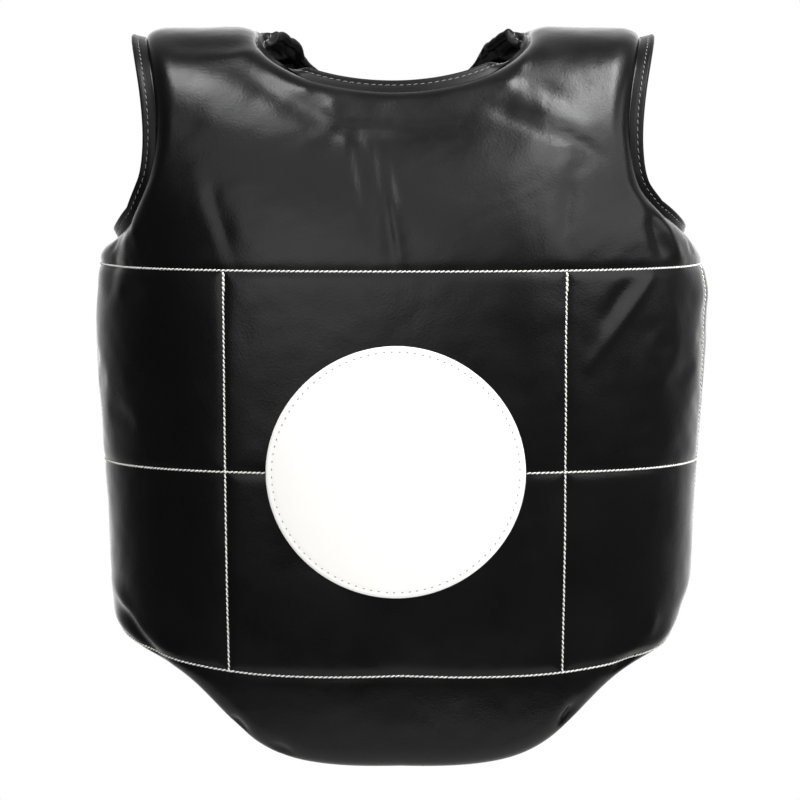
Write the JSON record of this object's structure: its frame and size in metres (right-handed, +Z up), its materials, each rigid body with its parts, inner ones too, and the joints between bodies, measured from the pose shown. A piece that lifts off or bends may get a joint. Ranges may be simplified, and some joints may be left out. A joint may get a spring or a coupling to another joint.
{
  "type": "body protector",
  "caption": "Padded vest that guards the chest, belly and sides in ring sports, with a wide neck, arm holes, a rounded lower flap, quilting seams, a round patch and a strapped back.",
  "frame": {"origin": "midway between the two shoulder ridges, at the height of the straps' undersides, where the wearer's shoulders carry the vest", "axes": "+Z up along the wearer's spine, +X to the right as seen from the front, the padded front faces -Y"},
  "size_m": [0.4558, 0.2798, 0.5394],
  "materials": {
    "black_leatherette": "semi-gloss coated synthetic leather over foam",
    "binding": "folded synthetic leather edge binding, semi-gloss",
    "white_leatherette": "smooth white coated synthetic leather",
    "webbing": "woven elastic webbing, matt"
  },
  "bodies": {
    "root": {"front_pad": "black_leatherette", "round_patch": "white_leatherette", "neck_binding": "binding", "armhole_binding_right": "binding", "armhole_binding_left": "binding", "back_panel_right": "black_leatherette", "back_panel_left": "black_leatherette", "back_strap": "webbing"}
  },
  "joints": []
}
